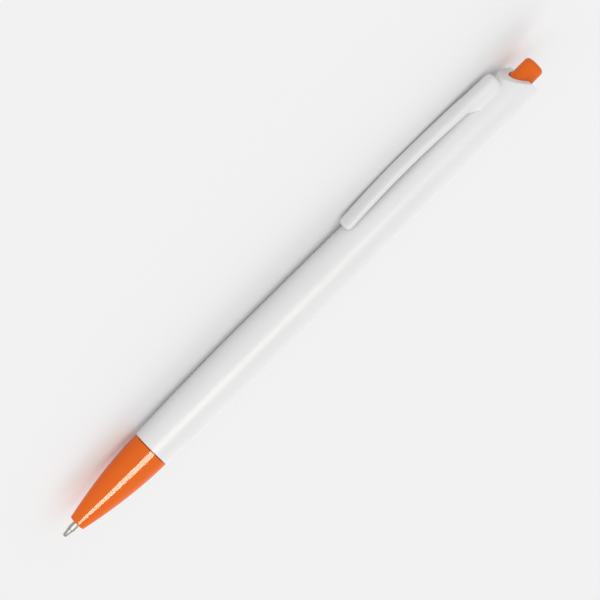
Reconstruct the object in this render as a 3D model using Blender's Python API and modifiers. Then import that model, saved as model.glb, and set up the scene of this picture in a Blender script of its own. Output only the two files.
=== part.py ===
"""Click ballpoint pen with its writing point out, lying as it comes to rest on a table.

Units are metres. The pen lies along X on the plane z = 0, centred on the origin, with its writing tip towards
+X. It has rolled onto its pocket clip, which is on the -Y side. Every piece is built in the pen's own frame:
the pen's axis is X, the push button is towards +X and the clip is on top, towards +Z. One empty holds all of
them and lays the pen down. The feature that takes the most care is the click mechanism: sawtooth ribs and
keyways inside the barrel, a splined rotor, and the plunger with its crown of teeth.
"""

import math

import bmesh
import bpy
import numpy as np
from mathutils import Matrix, Vector

# How far the pen has rolled from clip up when the clip's edge meets the table
REST_ROLL = math.radians(116.25)
FACET_TURN = math.radians(-1.2)

# Lengths along the pen
POINT_OUT = 0.00385
NOSE_LENGTH = 0.0223
SEAM_GAP = 0.0002
BARREL_LENGTH = 0.11175
BUTTON_OUT = 0.0040

# Barrel
BARREL_FRONT_RADIUS = 0.00464
BARREL_WIDEST_RADIUS = 0.00524
BARREL_BACK_RADIUS = 0.00458
BARREL_WIDEST_FROM_FRONT = 0.0276
BARREL_FRONT_FULLNESS = 1.6
BARREL_EDGE_ROUND = 0.00015
THREAD_BORE_RADIUS = 0.00375
THREAD_BORE_DEPTH = 0.0078
MAIN_BORE_RADIUS = 0.00365
END_WALL = 0.0051
END_CUT_RISE = 0.00045
END_CUT_ANGLE = math.radians(41.7)

# Click mechanism
KEYWAY_COUNT = 4
CAM_BORE_RADIUS = 0.00285
CAM_LENGTH = 0.0182
KEYWAY_WIDTH = 0.0017
KEYWAY_RADIUS = 0.0035
KEYWAY_SHORT_OF_WALL = 0.0004
TOOTH_HEIGHT = 0.0010
TOOTH_LAND = 0.0001
CAM_GAP = 0.0002
SLIDE_CLEARANCE = 0.00015
RETRACT_TRAVEL = 0.0055
STOP_GAP = 0.0003

# Push button and its plunger
BUTTON_RADIUS = 0.0024
BUTTON_EDGE_ROUND = 0.0006
BUTTON_HOLE_CLEARANCE = 0.0003
PLUNGER_BORE_RADIUS = 0.00175
PLUNGER_BORE_DEPTH = 0.0055
PLUNGER_SPLINE_LENGTH = 0.0080
CROWN_TOOTH_WIDTH = 0.0012

# Rotor
ROTOR_LENGTH = 0.0096
ROTOR_CORE_RADIUS = 0.0020
ROTOR_SPLINE_LENGTH = 0.0032
ROTOR_SPIGOT_RADIUS = 0.0015
ROTOR_SPIGOT_LENGTH = 0.0026
ROTOR_SOCKET_DEPTH = 0.0022

# Nose cone
NOSE_FRONT_RADIUS = 0.00185
NOSE_BACK_RADIUS = 0.00453
NOSE_FULLNESS = 1.8
NOSE_EDGE_ROUND = 0.00035
POINT_BORE_CLEARANCE = 0.00015
POINT_BORE_LENGTH = 0.00175
NOSE_THROAT_RADIUS = 0.0015
NOSE_THROAT_TAPER = 1.6
SPRING_SEAT_DEPTH = 0.0063
SPIGOT_LENGTH = 0.0070
SPIGOT_CLEARANCE = 0.00015

# Refill
BALL_RADIUS = 0.00035
BALL_CLEARANCE = 0.000035
BALL_OUT = 0.00015
POINT_LIP_WALL = 0.00008
POINT_CONE_LENGTH = 0.00205
POINT_STEP = 0.00007
POINT_RADIUS = 0.0008
POINT_SHANK_LENGTH = 0.0072
POINT_SHOULDER_RADIUS = 0.00115
POINT_SHOULDER_LENGTH = 0.0014
POINT_TAIL_RADIUS = 0.0007
POINT_TAIL_LENGTH = 0.0045
INK_CHANNEL_RADIUS = 0.0002
HOLDER_RADIUS = 0.00125
HOLDER_CHANNEL_RADIUS = 0.0005
HOLDER_PLUG_LENGTH = 0.0036
FLANGE_THICKNESS = 0.0010
TUBE_RADIUS = 0.0015
TUBE_WALL = 0.00045
FIT_GAP = 0.0001
SEAT_GAP = 0.0003
EMPTY_TUBE_LENGTH = 0.0102
GREASE_LENGTH = 0.0045
FILLING_DOME_WAIST = 0.6

# Spring
SPRING_RADIUS = 0.0020
SPRING_WIRE_RADIUS = 0.0002
SPRING_LENGTH = 0.0149
SPRING_TURNS = 13
SPRING_POINTS_PER_TURN = 10

# Pocket clip
CLIP_LENGTH = 0.0452
CLIP_BACK_FROM_BARREL_BACK = 0.0045
CLIP_HALF_WIDTH = 0.0020
CLIP_TIP_THICKNESS = 0.00145
CLIP_TIP_RADIUS = 0.0011
CLIP_BACK_ROUND = 0.0010
CLIP_END_FULLNESS = 2.4
CLIP_HIGHEST = 0.00265
CLIP_HIGHEST_FROM_TIP = 0.0190
CLIP_BACK_HEIGHT = 0.00200
CLIP_ARCH_GAP = 0.00070
CLIP_ROOT_LENGTH = 0.0100
CLIP_SEAT_GAP = 0.00015
CLIP_SQUARENESS = 3.2
CLIP_SINK = 0.0016
CLIP_SINK_RUN = 0.0016
CLIP_FILLET_REACH = 0.0016
CLIP_FILLET_HEIGHT = 0.0015
FOOT_LENGTH = 0.0048
FOOT_WIDTH = 0.0018
FOOT_DEPTH = 0.0011
FOOT_FROM_CLIP_BACK = 0.0021
FOOT_CLEARANCE = 0.0002
CLIP_PIVOT_FROM_BACK = 0.0004

# Facets
BARREL_SIDES = 48
NOSE_SIDES = 48
BUTTON_SIDES = 32
ROTOR_SIDES = 32
REFILL_SIDES = 24
CLIP_SECTION_POINTS = 24
CLIP_ARM_STATIONS = 14
CLIP_ROOT_STATIONS = 5
CLIP_END_SHARES = (0.06, 0.2, 0.5, 1.0)
BARREL_SWELL_STEPS = 9
NOSE_OUTLINE_STEPS = 15
ARC_STEPS = 3
NOSE_ARC_STEPS = 4
BUTTON_ARC_STEPS = 5
SOCKET_ARC_STEPS = 8
MERGE = 1e-7
CUT_OVER = 0.002

# Places along the pen's axis, worked out from the lengths
LENGTH = POINT_OUT + NOSE_LENGTH + SEAM_GAP + BARREL_LENGTH + BUTTON_OUT
X_BALL_END = -LENGTH / 2
X_NOSE_FRONT = X_BALL_END + POINT_OUT
X_NOSE_BACK = X_NOSE_FRONT + NOSE_LENGTH
X_BARREL_FRONT = X_NOSE_BACK + SEAM_GAP
X_BARREL_BACK = X_BARREL_FRONT + BARREL_LENGTH
X_BUTTON_END = X_BARREL_BACK + BUTTON_OUT
X_BORE_END = X_BARREL_BACK - END_WALL
X_KEYWAY_END = X_BORE_END - KEYWAY_SHORT_OF_WALL
X_RIB_TIPS = X_BORE_END - CAM_LENGTH
X_ROTOR_BACK = X_RIB_TIPS - CAM_GAP
X_ROTOR_FRONT = X_ROTOR_BACK - ROTOR_LENGTH
X_TUBE_BACK = X_ROTOR_FRONT + ROTOR_SOCKET_DEPTH - SEAT_GAP
X_SPRING_SEAT = X_NOSE_FRONT + SPRING_SEAT_DEPTH
X_SPRING_FRONT = X_SPRING_SEAT + FIT_GAP
X_SPRING_BACK = X_SPRING_FRONT + SPRING_LENGTH
X_FLANGE_FRONT = X_SPRING_BACK + FIT_GAP
X_FLANGE_BACK = X_FLANGE_FRONT + FLANGE_THICKNESS
X_SHOULDER_FRONT = X_BALL_END + POINT_SHANK_LENGTH
X_SHOULDER_BACK = X_SHOULDER_FRONT + POINT_SHOULDER_LENGTH
X_TAIL_BACK = X_SHOULDER_BACK + POINT_TAIL_LENGTH
X_INK_FRONT = X_FLANGE_BACK + HOLDER_PLUG_LENGTH + SEAT_GAP
X_GREASE_BACK = X_TUBE_BACK - EMPTY_TUBE_LENGTH
X_GREASE_FRONT = X_GREASE_BACK - GREASE_LENGTH
X_BALL = X_BALL_END + BALL_RADIUS
X_CLIP_BACK = X_BARREL_BACK - CLIP_BACK_FROM_BARREL_BACK
X_CLIP_TIP = X_CLIP_BACK - CLIP_LENGTH
X_CLIP_PIVOT = X_CLIP_BACK - CLIP_PIVOT_FROM_BACK
X_CLIP_ROOT = X_CLIP_BACK - CLIP_ROOT_LENGTH
X_BARREL_WIDEST = X_BARREL_FRONT + BARREL_WIDEST_FROM_FRONT

# Fits, worked out from what they fit
SPLINE_WIDTH = KEYWAY_WIDTH - 2 * SLIDE_CLEARANCE
SPLINE_RADIUS = KEYWAY_RADIUS - SLIDE_CLEARANCE
PLUNGER_RADIUS = CAM_BORE_RADIUS - SLIDE_CLEARANCE
HOLE_RADIUS = BUTTON_RADIUS + BUTTON_HOLE_CLEARANCE
SPIGOT_RADIUS = THREAD_BORE_RADIUS - SPIGOT_CLEARANCE
CHAMBER_RADIUS = SPRING_RADIUS + SLIDE_CLEARANCE + FIT_GAP
SOCKET_RADIUS = BALL_RADIUS + BALL_CLEARANCE
TUBE_BORE_RADIUS = TUBE_RADIUS - TUBE_WALL
RIB_HALF_WIDTH = KEYWAY_RADIUS * math.sin(math.pi / KEYWAY_COUNT) - KEYWAY_WIDTH / 4
TOOTH_WALL = SPLINE_WIDTH / 2 + FIT_GAP
TOOTH_SLOPE = TOOTH_HEIGHT / (RIB_HALF_WIDTH + TOOTH_WALL)
ROTOR_SHOULDER = X_ROTOR_BACK - TOOTH_HEIGHT

PEN_AXIS = Vector((1, 0, 0))
ALONG_AXIS = (0, math.pi / 2, 0)


def clear_scene():
    for old in list(bpy.data.objects):
        bpy.data.objects.remove(old, do_unlink=True)


def new_collection(name, hidden=False):
    collection = bpy.data.collections.new(name)
    bpy.context.scene.collection.children.link(collection)
    collection.hide_render = hidden
    return collection


def plastic(name, colour, roughness, metallic=0.0):
    material = bpy.data.materials.new(name)
    material.use_nodes = True
    shader = material.node_tree.nodes["Principled BSDF"]
    shader.inputs["Base Color"].default_value = (*colour, 1)
    shader.inputs["Roughness"].default_value = roughness
    shader.inputs["Metallic"].default_value = metallic
    return material


def lay_down():
    """The empty that holds every piece, at the pen's axis: it rolls the pen onto its clip, tip towards +X."""
    empty = bpy.data.objects.new("pen_at_rest", None)
    empty.location = (0, 0, BARREL_WIDEST_RADIUS)
    empty.rotation_euler = (-REST_ROLL, 0, math.pi)
    PARTS.objects.link(empty)
    return empty


def centre_across(*pieces):
    """Moves the pen across so that the width of these pieces is centred on the X axis."""
    bpy.context.view_layer.update()
    graph = bpy.context.evaluated_depsgraph_get()
    places = []
    for piece in pieces:
        final = piece.evaluated_get(graph)
        places += [(final.matrix_world @ vertex.co).y for vertex in final.data.vertices]
    PEN.location.y = -(min(places) + max(places)) / 2


def add_object(name, mesh, material=None):
    """A part when it has a material, and otherwise a cutter, which is hidden from renders."""
    obj = bpy.data.objects.new(name, mesh)
    obj.parent = PEN
    if material:
        PARTS.objects.link(obj)
        mesh.materials.append(material)
    else:
        CUTTERS.objects.link(obj)
        obj.hide_render = True
        obj.display_type = "WIRE"
    return obj


def turned(name, outline, sides, material=None, closed=True):
    """A turned shape about the pen's axis. Outline points are (x, radius) and run from the button end
    along the outside to the tip end, then back along the bore. A solid one starts and ends at radius 0.
    The outline stands about half a facet off the line the pen rests on, so it settles on a flat facet."""
    count = len(outline)
    edges = [(i, i + 1) for i in range(count - 1)] + ([(count - 1, 0)] if closed else [])
    start = REST_ROLL + FACET_TURN + math.pi / sides
    across, aside = math.cos(start), math.sin(start)
    mesh = bpy.data.meshes.new(name)
    mesh.from_pydata([(radius * across, radius * aside, x) for x, radius in outline], edges, [])
    obj = add_object(name, mesh, material)
    obj.rotation_euler = ALONG_AXIS
    screw = obj.modifiers.new("turn", "SCREW")
    screw.axis = "Z"
    screw.steps = screw.render_steps = sides
    screw.use_merge_vertices = True
    screw.merge_threshold = MERGE
    screw.use_smooth_shade = True
    return obj


def arc(x, radius, size, start, end, steps=ARC_STEPS):
    """Points of an arc about (x, radius), from one angle to another in degrees, 0 towards the button."""
    angles = np.radians(np.linspace(start, end, steps + 1))
    return [(x + size * math.cos(a), radius + size * math.sin(a)) for a in angles]


def prism(name, outline, low, high, angle, material=None):
    """A flat outline of (u, x) points, extruded along the radius from low to high. u runs round the pen, in
    the direction of a positive turn about +X, and angle is where the prism stands, from the clip's side."""
    shape = bmesh.new()
    face = shape.faces.new([shape.verts.new((u, x, low)) for u, x in outline])
    pushed = bmesh.ops.extrude_face_region(shape, geom=[face])["geom"]
    moved = [item for item in pushed if isinstance(item, bmesh.types.BMVert)]
    bmesh.ops.translate(shape, verts=moved, vec=(0, 0, high - low))
    bmesh.ops.recalc_face_normals(shape, faces=shape.faces)
    mesh = bpy.data.meshes.new(name)
    shape.to_mesh(mesh)
    shape.free()
    obj = add_object(name, mesh, material)
    outward = Matrix.Rotation(angle, 3, PEN_AXIS) @ Vector((0, 0, 1))
    axes = Matrix((PEN_AXIS.cross(outward), PEN_AXIS, outward)).transposed()
    obj.matrix_basis = axes.to_4x4()
    return obj


def block(name, low, high):
    """A box between two corners, as a cutter or a shape to join."""
    mesh = bpy.data.meshes.new(name)
    shape = bmesh.new()
    bmesh.ops.create_cube(shape, size=1)
    size = Vector(high) - Vector(low)
    bmesh.ops.scale(shape, verts=shape.verts, vec=size)
    bmesh.ops.translate(shape, verts=shape.verts, vec=(Vector(low) + Vector(high)) / 2)
    shape.to_mesh(mesh)
    shape.free()
    return add_object(name, mesh)


def cut(obj, cutter, operation="DIFFERENCE"):
    boolean = obj.modifiers.new(cutter.name, "BOOLEAN")
    boolean.operation = operation
    boolean.solver = "EXACT"
    boolean.object = cutter


def key_angles():
    return [math.tau * (i + 0.5) / KEYWAY_COUNT for i in range(KEYWAY_COUNT)]


def rib_angles():
    return [math.tau * i / KEYWAY_COUNT for i in range(KEYWAY_COUNT)]


def barrel_radius(x):
    """The barrel's outside: it swells from the front to its widest, then tapers straight to the back."""
    if x < X_BARREL_WIDEST:
        share = (X_BARREL_WIDEST - x) / BARREL_WIDEST_FROM_FRONT
        swell = BARREL_WIDEST_RADIUS - BARREL_FRONT_RADIUS
        return BARREL_WIDEST_RADIUS - swell * share**BARREL_FRONT_FULLNESS
    share = (x - X_BARREL_WIDEST) / (X_BARREL_BACK - X_BARREL_WIDEST)
    return BARREL_WIDEST_RADIUS - (BARREL_WIDEST_RADIUS - BARREL_BACK_RADIUS) * share


def barrel_outside(grown=0.0):
    """Outline points from the back of the barrel to the front, square at the ends."""
    front = np.linspace(X_BARREL_WIDEST, X_BARREL_FRONT, BARREL_SWELL_STEPS + 1)
    return [(x, barrel_radius(x) + grown) for x in (X_BARREL_BACK, *front)]


def rib_tooth_outline():
    """What is cut from the front of one rib: two sawteeth, with the wall that stops a spline between them."""
    side = RIB_HALF_WIDTH + FIT_GAP
    land = X_RIB_TIPS - TOOTH_LAND
    front = X_RIB_TIPS - CUT_OVER
    return [
        (-side, front),
        (side, front),
        (side, land + TOOTH_SLOPE * (side - TOOTH_WALL)),
        (TOOTH_WALL, land),
        (TOOTH_WALL, land + TOOTH_HEIGHT),
        (-side, land),
    ]


def make_barrel(material):
    outside = barrel_outside()
    edge = BARREL_EDGE_ROUND
    back, front = outside[0][1], outside[-1][1]
    outline = arc(X_BARREL_BACK - edge, back - edge, edge, 0, 90)
    outline += outside[1:-1]
    outline += arc(X_BARREL_FRONT + edge, front - edge, edge, 90, 180)
    x_thread_end = X_BARREL_FRONT + THREAD_BORE_DEPTH
    outline += [(X_BARREL_FRONT, THREAD_BORE_RADIUS), (x_thread_end, THREAD_BORE_RADIUS)]
    outline += [(x_thread_end + FIT_GAP, MAIN_BORE_RADIUS), (X_RIB_TIPS, MAIN_BORE_RADIUS)]
    outline += [(X_RIB_TIPS, CAM_BORE_RADIUS), (X_BORE_END, CAM_BORE_RADIUS)]
    outline += [(X_BORE_END, HOLE_RADIUS), (X_BARREL_BACK, HOLE_RADIUS)]
    barrel = turned("barrel", outline, BARREL_SIDES, material)

    keyway = [
        (-KEYWAY_WIDTH / 2, X_RIB_TIPS - CUT_OVER),
        (KEYWAY_WIDTH / 2, X_RIB_TIPS - CUT_OVER),
        (KEYWAY_WIDTH / 2, X_KEYWAY_END),
        (-KEYWAY_WIDTH / 2, X_KEYWAY_END),
    ]
    for i, angle in enumerate(key_angles()):
        cut(barrel, prism(f"keyway_cutter_{i}", keyway, 0, KEYWAY_RADIUS, angle))
    for i, angle in enumerate(rib_angles()):
        outer = MAIN_BORE_RADIUS + SLIDE_CLEARANCE
        inner = CAM_BORE_RADIUS / 2
        cut(barrel, prism(f"rib_tooth_cutter_{i}", rib_tooth_outline(), inner, outer, angle))

    slot = (FOOT_LENGTH / 2 + FOOT_CLEARANCE, FOOT_WIDTH / 2 + FOOT_CLEARANCE)
    x, z = foot_centre(), foot_bottom() - FOOT_CLEARANCE
    top = BARREL_WIDEST_RADIUS + CUT_OVER
    cut(barrel, block("clip_slot_cutter", (x - slot[0], -slot[1], z), (x + slot[0], slot[1], top)))
    cut(barrel, slanted_end_cutter())
    return barrel


def slanted_end_cutter():
    """A block whose lower face is the slanted end: it leaves the straight end just above the pen's axis."""
    size = 4 * BARREL_WIDEST_RADIUS
    cutter = block("slanted_end_cutter", (0, -size / 2, -size / 2), (size, size / 2, size / 2))
    cutter.location = (X_BARREL_BACK, 0, END_CUT_RISE)
    cutter.rotation_euler = (0, -END_CUT_ANGLE, 0)
    return cutter


def foot_centre():
    return X_CLIP_BACK - FOOT_FROM_CLIP_BACK - FOOT_LENGTH / 2


def foot_bottom():
    """Height of the clip foot's underside above the pen's axis."""
    return barrel_radius(foot_centre()) - FOOT_DEPTH


def eased(share):
    """0 to 1, level at both ends, for a share that may run past them."""
    share = min(max(share, 0), 1)
    return share * share * (3 - 2 * share)


def closing(distance, size):
    """How far a rounded end has opened, from 0 at the end to 1 at its size."""
    share = min(max(1 - distance / size, 0), 1)
    return (1 - share**CLIP_END_FULLNESS) ** (1 / CLIP_END_FULLNESS)


def clip_section(x):
    """The clip's half width, underside and top at x, the heights from the pen's axis, and how far the fillet
    at its root reaches out over the barrel on each side."""
    x_high = X_CLIP_TIP + CLIP_HIGHEST_FROM_TIP
    surface = barrel_radius(x)
    tip_top = CLIP_SEAT_GAP + CLIP_TIP_THICKNESS
    if x < x_high:
        swell = math.sin(math.pi / 2 * (x - X_CLIP_TIP) / CLIP_HIGHEST_FROM_TIP)
        top = surface + tip_top + (CLIP_HIGHEST - tip_top) * swell
    else:
        fall = (x - x_high) / (X_CLIP_BACK - x_high)
        top = surface + CLIP_HIGHEST - (CLIP_HIGHEST - CLIP_BACK_HEIGHT) * fall**2
    arch_start = X_CLIP_TIP + CLIP_TIP_RADIUS
    share = min(max((x - arch_start) / (X_CLIP_ROOT - arch_start), 0), 1)
    rooted = eased((x - X_CLIP_ROOT) / CLIP_SINK_RUN)
    sink = (CLIP_SEAT_GAP + CLIP_SINK) * rooted
    low = surface + CLIP_SEAT_GAP + CLIP_ARCH_GAP * math.sin(math.pi * share) - sink
    tip = closing(x - X_CLIP_TIP, CLIP_TIP_RADIUS)
    back = closing(X_CLIP_BACK - x, CLIP_BACK_ROUND)
    middle = (low + top) / 2
    low = middle + (low - middle) * tip
    top = middle + (top - middle) * tip - (1 - back) * CLIP_BACK_ROUND
    return CLIP_HALF_WIDTH * tip * (1 + back) / 2, low, top, CLIP_FILLET_REACH * rooted * back


def clip_stations():
    ends = CLIP_TIP_RADIUS * np.array(CLIP_END_SHARES)
    backs = CLIP_BACK_ROUND * np.array(CLIP_END_SHARES[::-1])
    arm = np.linspace(X_CLIP_TIP + 2 * CLIP_TIP_RADIUS, X_CLIP_ROOT, CLIP_ARM_STATIONS)
    sunk = X_CLIP_ROOT + CLIP_SINK_RUN
    root = np.linspace(sunk, X_CLIP_BACK - 2 * CLIP_BACK_ROUND, CLIP_ROOT_STATIONS)
    arm = [*arm, (X_CLIP_ROOT + sunk) / 2]
    return [*(X_CLIP_TIP + ends), *arm, *root, *(X_CLIP_BACK - backs)]


def make_clip(material):
    """The clip is a loft: soft squarish sections, each from one formula, joined ring to ring."""
    pivot = Vector((X_CLIP_PIVOT, 0, barrel_radius(X_CLIP_PIVOT)))
    turns = np.linspace(0, math.tau, CLIP_SECTION_POINTS, endpoint=False)
    shape = bmesh.new()
    rings = []
    for x in clip_stations():
        half_width, low, top, fillet = clip_section(x)
        fillet_top = barrel_radius(x) + CLIP_FILLET_HEIGHT
        ring = []
        for a in turns:
            across = math.copysign(abs(math.cos(a)) ** (2 / CLIP_SQUARENESS), math.cos(a))
            up = math.copysign(abs(math.sin(a)) ** (2 / CLIP_SQUARENESS), math.sin(a))
            height = (low + top) / 2 + (top - low) / 2 * up
            depth = max(fillet_top - height, 0) / (CLIP_FILLET_HEIGHT + CLIP_SINK)
            y = (half_width + fillet * depth**2) * across
            ring.append(shape.verts.new(Vector((x, y, height)) - pivot))
        rings.append(ring)
    for ring, following in zip(rings, rings[1:]):
        for i in range(CLIP_SECTION_POINTS):
            j = (i + 1) % CLIP_SECTION_POINTS
            shape.faces.new((ring[i], ring[j], following[j], following[i]))
    shape.faces.new(rings[0])
    shape.faces.new(rings[-1])
    bmesh.ops.recalc_face_normals(shape, faces=shape.faces)
    mesh = bpy.data.meshes.new("pocket_clip")
    shape.to_mesh(mesh)
    shape.free()
    mesh.shade_smooth()
    clip = add_object("pocket_clip", mesh, material)
    clip.location = pivot

    seat = [(X_BARREL_BACK + CUT_OVER, 0), (X_BARREL_BACK + CUT_OVER, BARREL_BACK_RADIUS + CLIP_SEAT_GAP)]
    seat += barrel_outside(CLIP_SEAT_GAP)
    seat += [(X_BARREL_FRONT, 0)]
    cut(clip, turned("clip_seat_cutter", seat, BARREL_SIDES, closed=False))
    x, half_length, half_width = foot_centre(), FOOT_LENGTH / 2, FOOT_WIDTH / 2
    low = foot_bottom()
    high = barrel_radius(x) + CLIP_BACK_HEIGHT / 2
    foot = block("clip_foot", (x - half_length, -half_width, low), (x + half_length, half_width, high))
    cut(clip, foot, "UNION")
    return clip


def nose_radius(x):
    share = (X_NOSE_BACK - x) / NOSE_LENGTH
    return NOSE_BACK_RADIUS - (NOSE_BACK_RADIUS - NOSE_FRONT_RADIUS) * share**NOSE_FULLNESS


def make_nose(material):
    edge = NOSE_EDGE_ROUND
    x_spigot_back = X_NOSE_BACK + SPIGOT_LENGTH
    outline = [(x_spigot_back, SPIGOT_RADIUS - edge), (x_spigot_back - edge, SPIGOT_RADIUS)]
    outline += [(X_NOSE_BACK, SPIGOT_RADIUS), (X_NOSE_BACK, NOSE_BACK_RADIUS)]
    stations = np.linspace(X_NOSE_BACK, X_NOSE_FRONT + edge, NOSE_OUTLINE_STEPS + 1)[1:-1]
    outline += [(x, nose_radius(x)) for x in stations]
    x_edge, front = X_NOSE_FRONT + edge, nose_radius(X_NOSE_FRONT + edge)
    outline += arc(x_edge, front - edge, edge, 90, 180, NOSE_ARC_STEPS)
    bore = POINT_RADIUS + POINT_BORE_CLEARANCE
    x_bore_back = X_NOSE_FRONT + POINT_BORE_LENGTH
    x_throat = x_bore_back + (NOSE_THROAT_RADIUS - bore) * NOSE_THROAT_TAPER
    outline += [(X_NOSE_FRONT, bore), (x_bore_back, bore), (x_throat, NOSE_THROAT_RADIUS)]
    outline += [(X_SPRING_SEAT, NOSE_THROAT_RADIUS), (X_SPRING_SEAT, CHAMBER_RADIUS)]
    outline += [(x_spigot_back, CHAMBER_RADIUS)]
    return turned("nose_cone", outline, NOSE_SIDES, material)


def make_button(material):
    """The plunger: a round end to press, a splined skirt in the keyways, and a crown of teeth in front."""
    edge = BUTTON_EDGE_ROUND
    x_shoulder = X_KEYWAY_END - RETRACT_TRAVEL - STOP_GAP
    x_crown = X_RIB_TIPS
    outline = [(X_BUTTON_END, 0)]
    outline += arc(X_BUTTON_END - edge, BUTTON_RADIUS - edge, edge, 0, 90, BUTTON_ARC_STEPS)
    outline += [(x_shoulder + FIT_GAP, BUTTON_RADIUS), (x_shoulder, PLUNGER_RADIUS)]
    outline += [(x_crown, PLUNGER_RADIUS), (x_crown, PLUNGER_BORE_RADIUS)]
    outline += [(x_crown + PLUNGER_BORE_DEPTH, PLUNGER_BORE_RADIUS), (x_crown + PLUNGER_BORE_DEPTH, 0)]
    button = turned("push_button", outline, BUTTON_SIDES, material, closed=False)

    x_spline = x_shoulder - PLUNGER_SPLINE_LENGTH
    half = SPLINE_WIDTH / 2
    spline = [(-half, x_spline + half), (0, x_spline), (half, x_spline + half), (half, x_shoulder)]
    spline += [(-half, x_shoulder)]
    for i, angle in enumerate(key_angles()):
        low = (PLUNGER_BORE_RADIUS + PLUNGER_RADIUS) / 2
        cut(button, prism(f"plunger_spline_{i}", spline, low, SPLINE_RADIUS, angle), "UNION")
    half = CROWN_TOOTH_WIDTH / 2
    notch = [(-half, x_crown - FIT_GAP), (half, x_crown - FIT_GAP), (0, x_crown + TOOTH_HEIGHT)]
    for i in range(KEYWAY_COUNT):
        angle = math.pi * (i + 0.5) / KEYWAY_COUNT
        reach = PLUNGER_RADIUS + CUT_OVER
        cut(button, prism(f"crown_notch_cutter_{i}", notch, -reach, reach, angle))
    return button


def make_rotor(material):
    """The ratchet: splines with slanted backs on a round core, a socket for the ink tube in front of them."""
    socket = TUBE_RADIUS + FIT_GAP
    x_floor = X_ROTOR_FRONT + ROTOR_SOCKET_DEPTH
    x_spigot = X_ROTOR_BACK + ROTOR_SPIGOT_LENGTH
    edge = FIT_GAP * 2
    outline = [(x_spigot, 0), (x_spigot, ROTOR_SPIGOT_RADIUS - edge)]
    outline += [(x_spigot - edge, ROTOR_SPIGOT_RADIUS), (ROTOR_SHOULDER, ROTOR_SPIGOT_RADIUS)]
    outline += [(ROTOR_SHOULDER, ROTOR_CORE_RADIUS), (X_ROTOR_FRONT + edge, ROTOR_CORE_RADIUS)]
    outline += [(X_ROTOR_FRONT, ROTOR_CORE_RADIUS - edge), (X_ROTOR_FRONT, socket)]
    outline += [(x_floor, socket), (x_floor, 0)]
    rotor = turned("cam_rotor", outline, ROTOR_SIDES, material, closed=False)

    half = SPLINE_WIDTH / 2
    x_front = X_ROTOR_BACK - ROTOR_SPLINE_LENGTH
    spline = [(-half, x_front), (half, x_front), (half, X_ROTOR_BACK)]
    spline += [(-half, X_ROTOR_BACK - TOOTH_SLOPE * SPLINE_WIDTH)]
    for i, angle in enumerate(key_angles()):
        low = (ROTOR_SPIGOT_RADIUS + ROTOR_CORE_RADIUS) / 2
        cut(rotor, prism(f"rotor_spline_{i}", spline, low, SPLINE_RADIUS, angle), "UNION")
    return rotor


def make_point(material):
    """The metal point: its lip closes past the middle of the ball, and a fine channel feeds the ink."""
    lip_x = X_BALL_END + BALL_OUT
    lip_angle = math.degrees(math.acos((lip_x - X_BALL) / SOCKET_RADIUS))
    channel_angle = math.degrees(math.asin(INK_CHANNEL_RADIUS / SOCKET_RADIUS))
    socket = arc(X_BALL, 0, SOCKET_RADIUS, lip_angle, channel_angle, SOCKET_ARC_STEPS)
    lip_radius = socket[0][1]
    x_cone = X_BALL_END + POINT_CONE_LENGTH
    outline = [(X_TAIL_BACK, POINT_TAIL_RADIUS), (X_SHOULDER_BACK, POINT_TAIL_RADIUS)]
    outline += [(X_SHOULDER_BACK, POINT_SHOULDER_RADIUS), (X_SHOULDER_FRONT, POINT_SHOULDER_RADIUS)]
    outline += [(X_SHOULDER_FRONT - FIT_GAP, POINT_RADIUS), (x_cone, POINT_RADIUS)]
    outline += [(x_cone, POINT_RADIUS - POINT_STEP)]
    outline += [(X_BALL, SOCKET_RADIUS + POINT_LIP_WALL), (lip_x, lip_radius + POINT_LIP_WALL / 2)]
    outline += socket + [(X_TAIL_BACK, INK_CHANNEL_RADIUS)]
    return turned("writing_point", outline, REFILL_SIDES, material)


def make_ball(material):
    shape = bmesh.new()
    bmesh.ops.create_uvsphere(shape, u_segments=16, v_segments=12, radius=BALL_RADIUS)
    mesh = bpy.data.meshes.new("writing_ball")
    shape.to_mesh(mesh)
    shape.free()
    mesh.shade_smooth()
    ball = add_object("writing_ball", mesh, material)
    ball.location = (X_BALL, 0, 0)
    ball.rotation_euler = (math.pi / 2, 0, 0)
    return ball


def make_holder(material):
    """The plug between metal and tube: the spring pushes on its flange."""
    bore = POINT_TAIL_RADIUS + FIT_GAP
    plug = TUBE_BORE_RADIUS - FIT_GAP
    x_front = X_SHOULDER_BACK + FIT_GAP
    x_back = X_FLANGE_BACK + HOLDER_PLUG_LENGTH
    x_bore = X_TAIL_BACK + SEAT_GAP
    outline = [(x_back, plug - FIT_GAP), (x_back - FIT_GAP, plug), (X_FLANGE_BACK, plug)]
    outline += [(X_FLANGE_BACK, SPRING_RADIUS), (X_FLANGE_FRONT, SPRING_RADIUS)]
    outline += [(X_FLANGE_FRONT, HOLDER_RADIUS), (x_front, HOLDER_RADIUS)]
    outline += [(x_front, bore), (x_bore, bore), (x_bore, HOLDER_CHANNEL_RADIUS)]
    outline += [(x_back, HOLDER_CHANNEL_RADIUS)]
    return turned("point_holder", outline, REFILL_SIDES, material)


def make_tube(material):
    x_front = X_FLANGE_BACK + FIT_GAP
    outline = [(X_TUBE_BACK, TUBE_RADIUS), (x_front, TUBE_RADIUS)]
    outline += [(x_front, TUBE_BORE_RADIUS), (X_TUBE_BACK, TUBE_BORE_RADIUS)]
    return turned("ink_tube", outline, REFILL_SIDES, material)


def make_filling(name, x_front, x_back, material):
    """Ink or grease inside the tube, domed at both ends like a drop of liquid."""
    radius = TUBE_BORE_RADIUS - FIT_GAP
    dome = radius / 3
    waist = radius * FILLING_DOME_WAIST
    outline = [(x_back, 0), (x_back - dome / 3, waist), (x_back - dome, radius)]
    outline += [(x_front + dome, radius), (x_front + dome / 3, waist), (x_front, 0)]
    return turned(name, outline, REFILL_SIDES, material, closed=False)


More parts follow.
